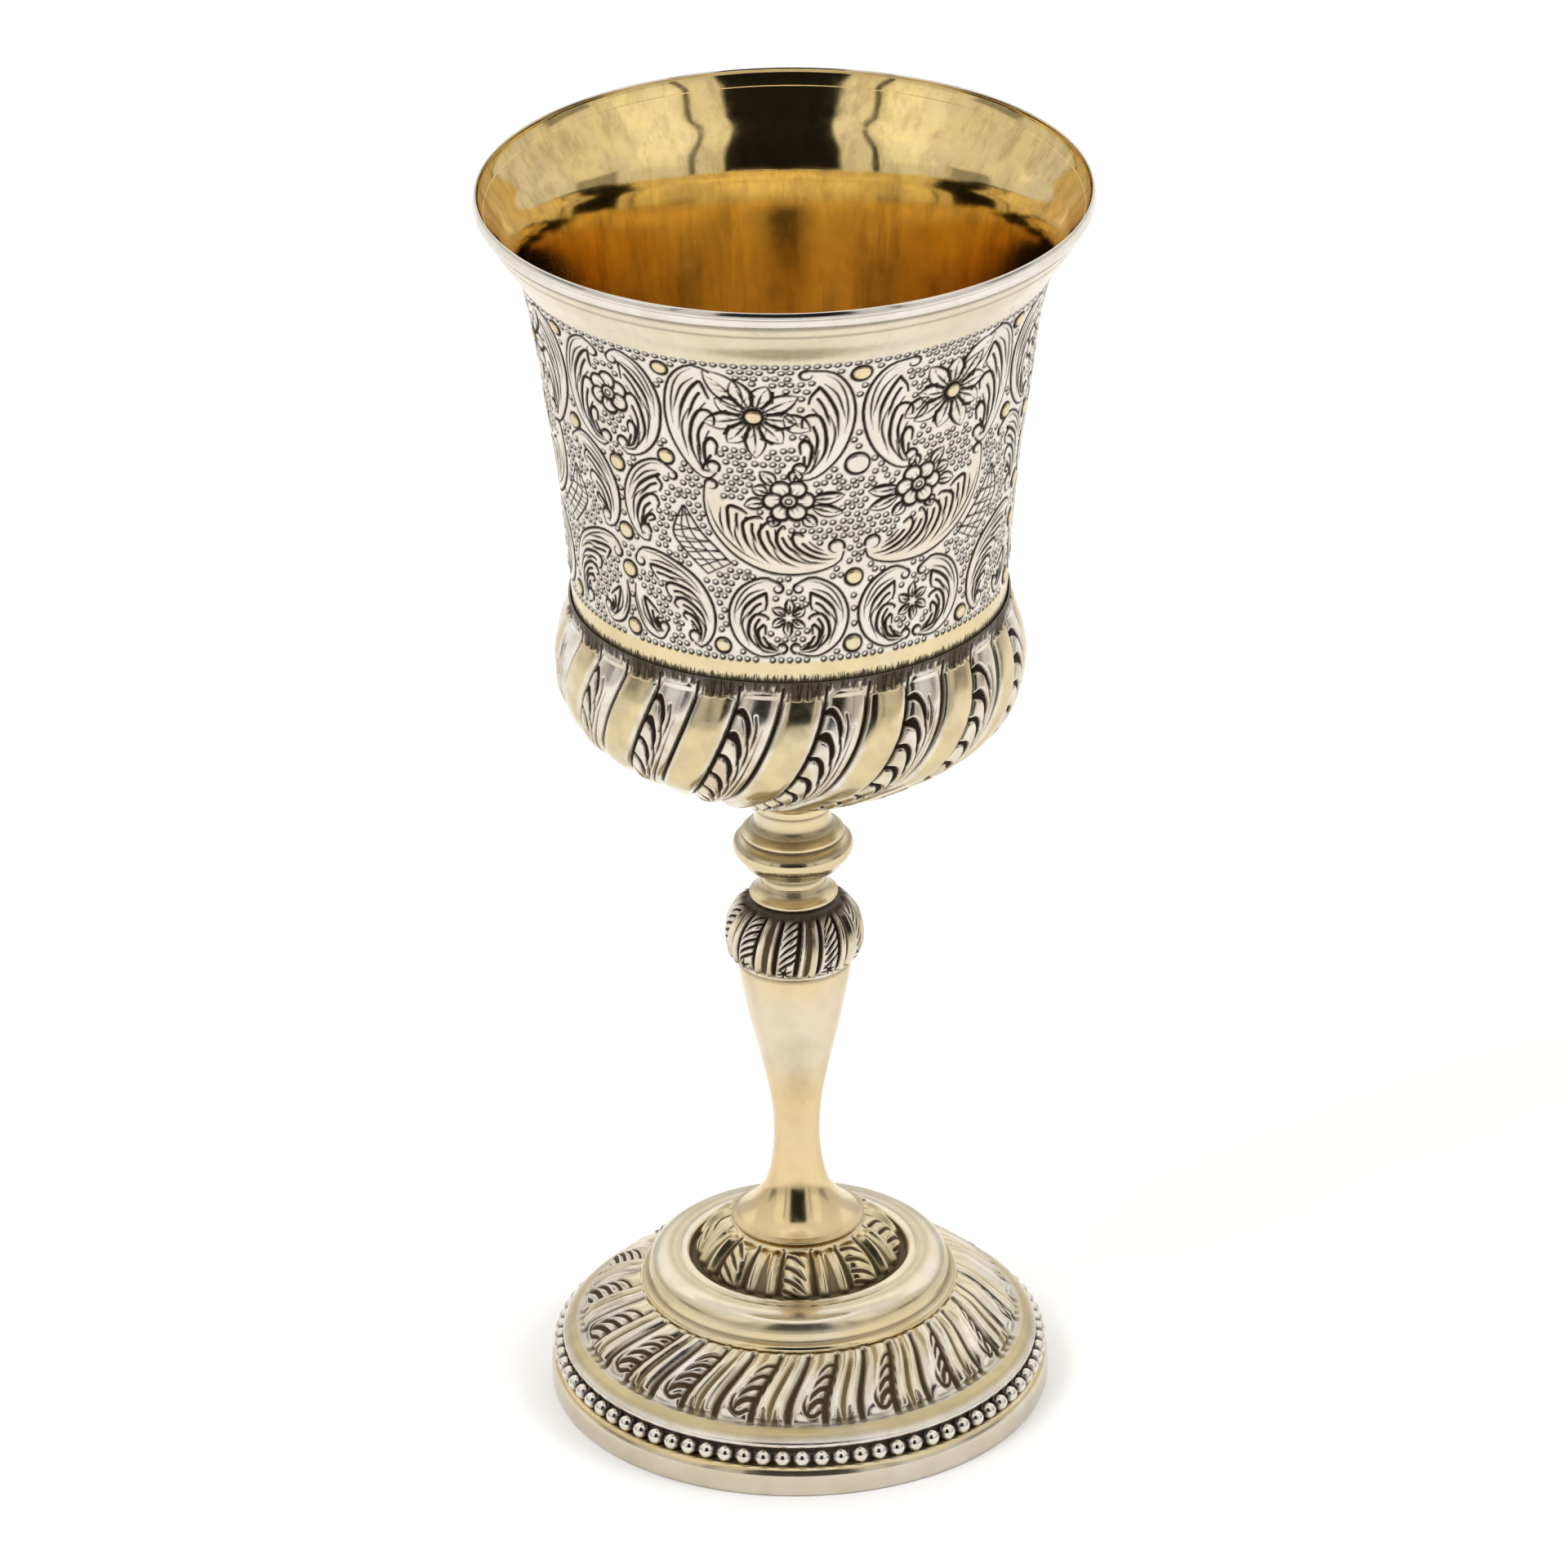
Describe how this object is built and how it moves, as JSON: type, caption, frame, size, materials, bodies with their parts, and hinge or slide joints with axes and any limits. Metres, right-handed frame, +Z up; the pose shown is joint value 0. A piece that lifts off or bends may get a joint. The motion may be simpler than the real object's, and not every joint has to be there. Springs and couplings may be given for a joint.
{
  "type": "communion chalice",
  "caption": "Small footed communion cup with a flared engraved bowl, gadrooned calyx, baluster stem and domed beaded foot, held together by a tie rod and nut.",
  "frame": {"origin": "centre of the underside of the foot, on the surface that the chalice stands on", "axes": "+Z up along the axis of the stem; -Y towards the viewer of the front"},
  "size_m": [0.0824, 0.0824, 0.18],
  "materials": {
    "engraved_silver_gilt": "engraved and oxidised silver outside, amber gilding inside",
    "chased_gilt": "chased gilding with dark oxidised recesses",
    "polished_gilt": "polished gilding",
    "pale_gilt": "worn pale gilding, satin",
    "bright_silver": "polished silver",
    "turned_brass": "plain turned brass"
  },
  "bodies": {
    "stand": {"foot_rim": "pale_gilt", "bead_wire": "bright_silver", "foot_outer_dome": "chased_gilt", "foot_step_ring": "polished_gilt", "foot_inner_dome": "chased_gilt", "foot_plate": "turned_brass", "baluster": "pale_gilt", "gadroon_knop": "chased_gilt", "neck_spool": "polished_gilt", "ring_knop": "polished_gilt", "stem_collar": "polished_gilt"},
    "cup": {"cup": "engraved_silver_gilt", "lip_wire": "bright_silver", "calyx": "chased_gilt", "cup_boss": "turned_brass", "tie_rod": "turned_brass"},
    "washer": {"nut_washer": "turned_brass"},
    "nut": {"tie_nut": "turned_brass"}
  },
  "joints": [
    {"name": "cup_lift", "type": "slide", "parent": "stand", "child": "cup", "axis": [0, 0, 1], "range_m": [0, 0.09]},
    {"name": "washer_drop", "type": "slide", "parent": "stand", "child": "washer", "axis": [0, 0, -1], "range_m": [0, 0.0042]},
    {"name": "nut_unscrew", "type": "hinge", "parent": "washer", "child": "nut", "pos_m": [0, 0, 0.015], "axis": [0, 0, -1], "range_deg": [0, 2520]}
  ],
  "couplings": [
    {"joint": "nut_unscrew", "follows": "washer_drop", "rad_per_m": 10472}
  ]
}
